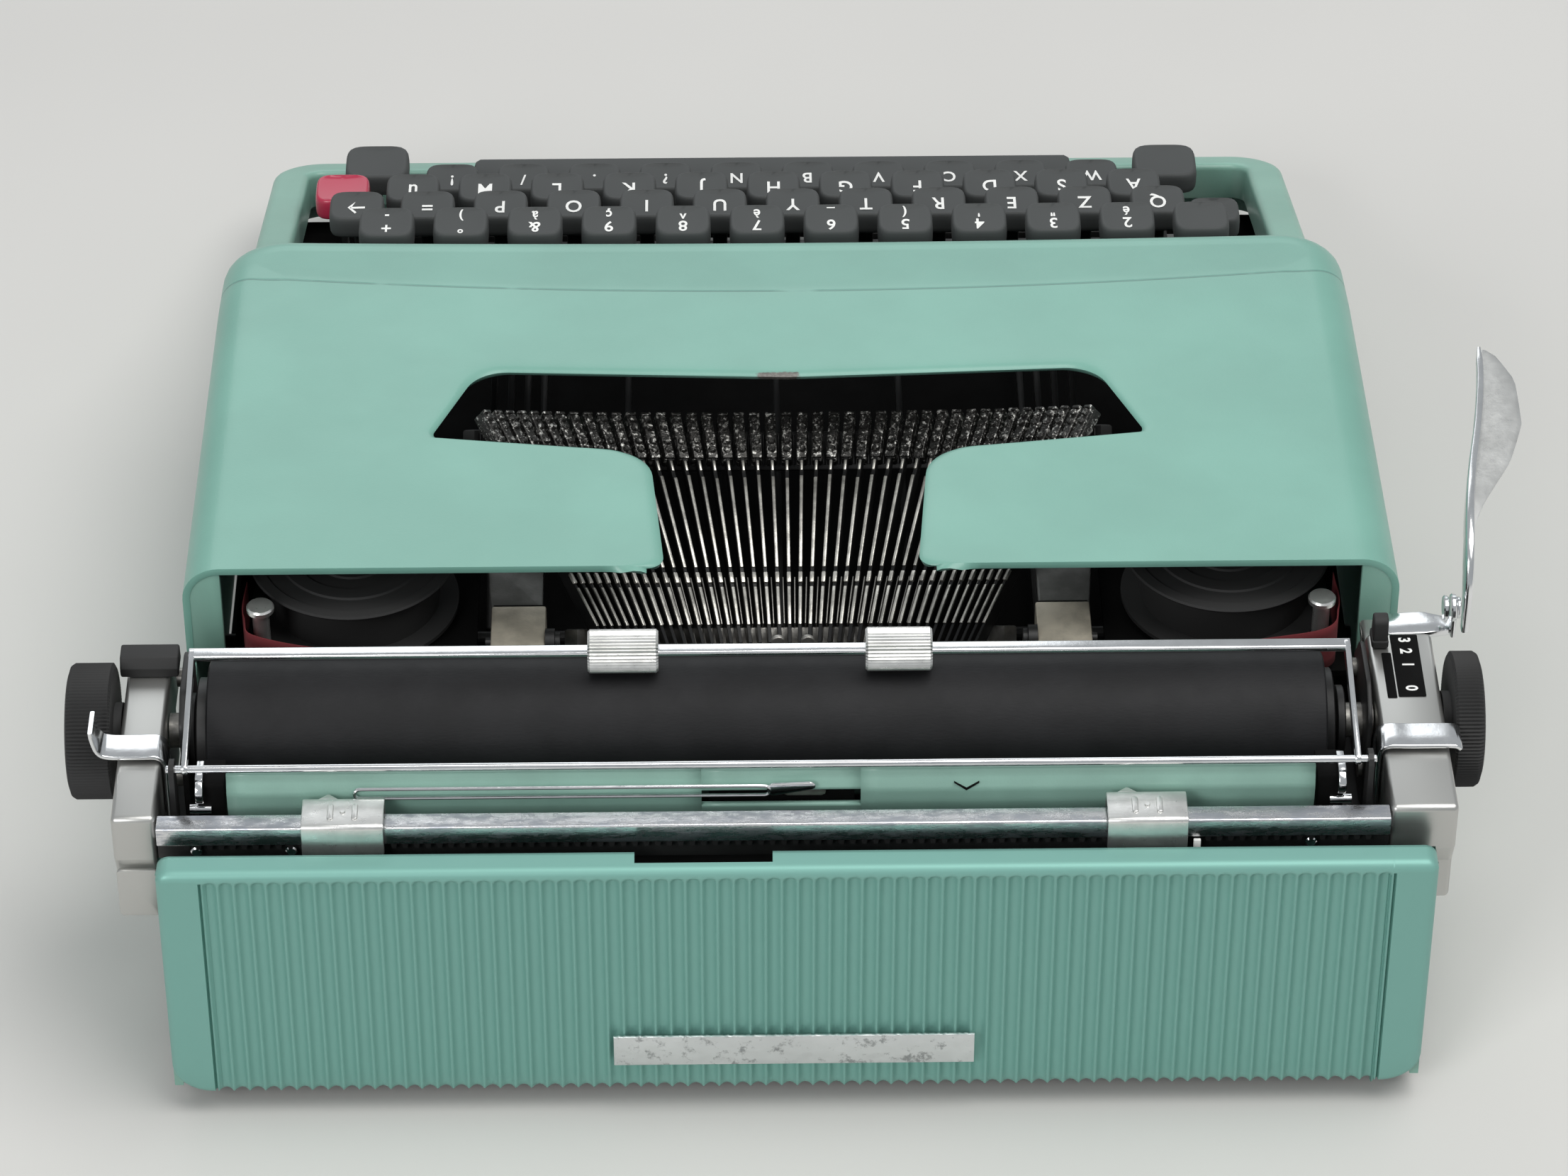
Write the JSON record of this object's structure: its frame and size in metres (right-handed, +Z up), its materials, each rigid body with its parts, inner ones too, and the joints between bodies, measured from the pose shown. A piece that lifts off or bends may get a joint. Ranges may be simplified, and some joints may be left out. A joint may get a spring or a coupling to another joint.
{
  "type": "portable manual typewriter",
  "caption": "Portable manual typewriter with a teal painted shell, ribbed rear panel, dark keys, type basket and a sliding carriage with platen, paper bail and return lever.",
  "frame": {"origin": "middle of the bounding box, on the plane under the feet", "axes": "+Z up, +Y from the typist towards the ribbed rear panel, +X the typist's right"},
  "size_m": [0.3376, 0.3496, 0.1035],
  "materials": {
    "teal_paint": "satin enamel, faintly orange-peeled",
    "panel_paint": "satin enamel on ribbed sheet",
    "chrome": "bright plating",
    "cast_silver": "fine-textured silver lacquer",
    "steel": "oiled, slightly aged",
    "dark_steel": "black paint",
    "black_plastic": "moulded, satin",
    "key_plastic": "moulded dark grey, satin",
    "key_red": "moulded red, satin",
    "rubber": "hard ground rubber",
    "ribbon_cloth": "inked cloth",
    "nickel": "nickel-like pressed sheet"
  },
  "bodies": {
    "body": {"base_pan": "dark_steel", "foot_front_left": "rubber", "foot_front_right": "rubber", "foot_rear_left": "rubber", "foot_rear_right": "rubber", "keyboard_frame": "teal_paint", "side_panel_left": "teal_paint", "side_panel_right": "teal_paint", "rear_panel": "panel_paint", "badge_plate": "nickel", "top_cover": "teal_paint", "carriage_rail_front": "steel", "carriage_rail_rear": "steel", "type_basket": "steel", "type_rest": "dark_steel", "type_guide": "cast_silver", "spool_deck": "dark_steel", "spool_post_left": "chrome", "spool_post_right": "chrome", "ink_ribbon": "ribbon_cloth", "key_fulcrum": "steel"},
    "carriage": {"carriage_bed": "steel", "carriage_end_right": "cast_silver", "carriage_end_left": "cast_silver", "bail_bracket_left": "dark_steel", "bail_bracket_right": "dark_steel", "paper_table": "teal_paint", "margin_rail": "chrome"},
    "platen_roll": {"platen": "rubber", "knob_right": "black_plastic", "knob_left": "black_plastic"},
    "bail": {"paper_bail": "chrome"},
    "roller_right": {"bail_roller_right": "nickel"},
    "roller_left": {"bail_roller_left": "nickel"},
    "support": {"paper_support": "chrome"},
    "stop_right": {"margin_stop_right": "nickel"},
    "stop_left": {"margin_stop_left": "nickel"},
    "lever": {"return_lever": "chrome"},
    "selector": {"line_space_selector": "black_plastic"},
    "lock_slider": {"carriage_lock_slider": "black_plastic"},
    "release_right": {"release_lever_right": "chrome"},
    "release_left": {"release_lever_left": "chrome"},
    "mainspring": {"mainspring_drum": "steel"},
    "spool_left": {"ribbon_spool_left": "black_plastic"},
    "spool_right": {"ribbon_spool_right": "black_plastic"},
    "typebar": {"typebar_h": "steel"},
    "row_1": {"key_row_1": "key_plastic"},
    "row_2": {"key_row_2": "key_plastic"},
    "row_3": {"key_row_3_left": "key_plastic", "key_row_3_right": "key_plastic"},
    "row_4": {"key_row_4": "key_plastic"},
    "h_key": {"key_h": "key_plastic"},
    "backspace": {"backspace_key": "key_plastic"},
    "tab": {"tab_key": "key_red"},
    "shift_right": {"shift_key_right": "key_plastic"},
    "shift_left": {"shift_key_left": "key_plastic"},
    "shift_lock": {"shift_lock_key": "key_plastic"},
    "margin_release": {"margin_release_key": "key_plastic"},
    "space": {"space_bar": "key_plastic"}
  },
  "joints": [
    {"name": "carriage_slide", "type": "slide", "parent": "body", "child": "carriage", "axis": [1, 0, 0], "range_m": [-0.105, 0.105]},
    {"name": "platen_spin", "type": "hinge", "parent": "carriage", "child": "platen_roll", "pos_m": [0.0046, 0.1212, 0.07], "axis": [1, 0, 0], "continuous": true},
    {"name": "bail_lift", "type": "hinge", "parent": "carriage", "child": "bail", "pos_m": [0.0046, 0.1512, 0.084], "axis": [-1, 0, 0], "range_deg": [0, 75], "stiffness_Nm_per_rad": 0.03, "springref_deg": -17.19},
    {"name": "bail_roller_right_spin", "type": "hinge", "parent": "bail", "child": "roller_right", "pos_m": [0.0426, 0.1202, 0.0913], "axis": [1, 0, 0], "continuous": true},
    {"name": "bail_roller_left_spin", "type": "hinge", "parent": "bail", "child": "roller_left", "pos_m": [-0.0189, 0.1202, 0.0913], "axis": [1, 0, 0], "continuous": true},
    {"name": "paper_support_swing", "type": "hinge", "parent": "carriage", "child": "support", "pos_m": [0.0076, 0.1534, 0.0782], "axis": [0, -1, 0], "range_deg": [0, 90]},
    {"name": "margin_stop_right_slide", "type": "slide", "parent": "carriage", "child": "stop_right", "axis": [1, 0, 0], "range_m": [-0.08, 0.024]},
    {"name": "margin_stop_left_slide", "type": "slide", "parent": "carriage", "child": "stop_left", "axis": [1, 0, 0], "range_m": [-0.038, 0.068]},
    {"name": "return_lever_swing", "type": "hinge", "parent": "carriage", "child": "lever", "pos_m": [-0.1344, 0.0922, 0.074], "axis": [0, 0, 1], "range_deg": [0, 20], "stiffness_Nm_per_rad": 0.4, "springref_deg": -8.59},
    {"name": "line_space_select", "type": "slide", "parent": "carriage", "child": "selector", "axis": [0, 1, 0], "range_m": [0, 0.012]},
    {"name": "carriage_lock_slide", "type": "slide", "parent": "carriage", "child": "lock_slider", "axis": [0, 1, 0], "range_m": [0, 0.006]},
    {"name": "release_right_lift", "type": "hinge", "parent": "carriage", "child": "release_right", "pos_m": [0.1449, 0.1382, 0.0605], "axis": [0, -1, 0], "range_deg": [0, 10], "stiffness_Nm_per_rad": 0.4, "springref_deg": -8.59},
    {"name": "release_left_lift", "type": "hinge", "parent": "carriage", "child": "release_left", "pos_m": [-0.1266, 0.1382, 0.0605], "axis": [0, 1, 0], "range_deg": [0, 10], "stiffness_Nm_per_rad": 0.4, "springref_deg": -8.59},
    {"name": "mainspring_spin", "type": "hinge", "parent": "body", "child": "mainspring", "pos_m": [-0.0954, 0.1262, 0.026], "axis": [0, 1, 0], "range_deg": [-433, 433]},
    {"name": "spool_left_spin", "type": "hinge", "parent": "body", "child": "spool_left", "pos_m": [-0.0984, 0.0592, 0.064], "axis": [0, 0, 1], "continuous": true},
    {"name": "spool_right_spin", "type": "hinge", "parent": "body", "child": "spool_right", "pos_m": [0.1076, 0.0592, 0.064], "axis": [0, 0, 1], "continuous": true},
    {"name": "typebar_swing", "type": "hinge", "parent": "body", "child": "typebar", "pos_m": [0.0046, 0.05335, 0.03997], "axis": [-1, 0, 0], "range_deg": [0, 124]},
    {"name": "key_row_1_press", "type": "hinge", "parent": "body", "child": "row_1", "pos_m": [0.0046, 0.0212, 0.014], "axis": [1, 0, 0], "range_deg": [0, 3.5], "stiffness_Nm_per_rad": 2, "springref_deg": -5.73},
    {"name": "key_row_2_press", "type": "hinge", "parent": "body", "child": "row_2", "pos_m": [0.0046, 0.0212, 0.014], "axis": [1, 0, 0], "range_deg": [0, 3.5], "stiffness_Nm_per_rad": 2, "springref_deg": -5.73},
    {"name": "key_row_3_press", "type": "hinge", "parent": "body", "child": "row_3", "pos_m": [0.0046, 0.0212, 0.014], "axis": [1, 0, 0], "range_deg": [0, 3.5], "stiffness_Nm_per_rad": 2, "springref_deg": -5.73},
    {"name": "key_row_4_press", "type": "hinge", "parent": "body", "child": "row_4", "pos_m": [0.0046, 0.0212, 0.014], "axis": [1, 0, 0], "range_deg": [0, 3.5], "stiffness_Nm_per_rad": 2, "springref_deg": -5.73},
    {"name": "h_key_press", "type": "hinge", "parent": "body", "child": "h_key", "pos_m": [0.0046, 0.0212, 0.014], "axis": [1, 0, 0], "range_deg": [0, 3.5], "stiffness_Nm_per_rad": 0.8, "springref_deg": -6.88},
    {"name": "backspace_press", "type": "hinge", "parent": "body", "child": "backspace", "pos_m": [0.0046, 0.0212, 0.014], "axis": [1, 0, 0], "range_deg": [0, 3.5], "stiffness_Nm_per_rad": 0.5, "springref_deg": -6.88},
    {"name": "tab_press", "type": "hinge", "parent": "body", "child": "tab", "pos_m": [0.0046, 0.0212, 0.014], "axis": [1, 0, 0], "range_deg": [0, 3.5], "stiffness_Nm_per_rad": 0.5, "springref_deg": -6.88},
    {"name": "shift_right_press", "type": "hinge", "parent": "body", "child": "shift_right", "pos_m": [0.0046, 0.0212, 0.014], "axis": [1, 0, 0], "range_deg": [0, 3.5], "stiffness_Nm_per_rad": 0.5, "springref_deg": -6.88},
    {"name": "shift_left_press", "type": "hinge", "parent": "body", "child": "shift_left", "pos_m": [0.0046, 0.0212, 0.014], "axis": [1, 0, 0], "range_deg": [0, 3.5], "stiffness_Nm_per_rad": 0.5, "springref_deg": -6.88},
    {"name": "shift_lock_press", "type": "hinge", "parent": "body", "child": "shift_lock", "pos_m": [0.0046, 0.0212, 0.014], "axis": [1, 0, 0], "range_deg": [0, 3.5], "stiffness_Nm_per_rad": 0.5, "springref_deg": -6.88},
    {"name": "margin_release_press", "type": "hinge", "parent": "body", "child": "margin_release", "pos_m": [0.0046, 0.0212, 0.014], "axis": [1, 0, 0], "range_deg": [0, 3.5], "stiffness_Nm_per_rad": 0.5, "springref_deg": -6.88},
    {"name": "space_bar_press", "type": "slide", "parent": "body", "child": "space", "axis": [0, 0, -1], "range_m": [0, 0.006], "stiffness_N_per_m": 120, "springref_m": -0.008}
  ],
  "couplings": [
    {"joint": "typebar_swing", "follows": "h_key_press", "ratio": 35.4},
    {"joint": "shift_right_press", "follows": "shift_left_press", "ratio": 1},
    {"joint": "mainspring_spin", "follows": "carriage_slide", "rad_per_m": 71.429}
  ]
}
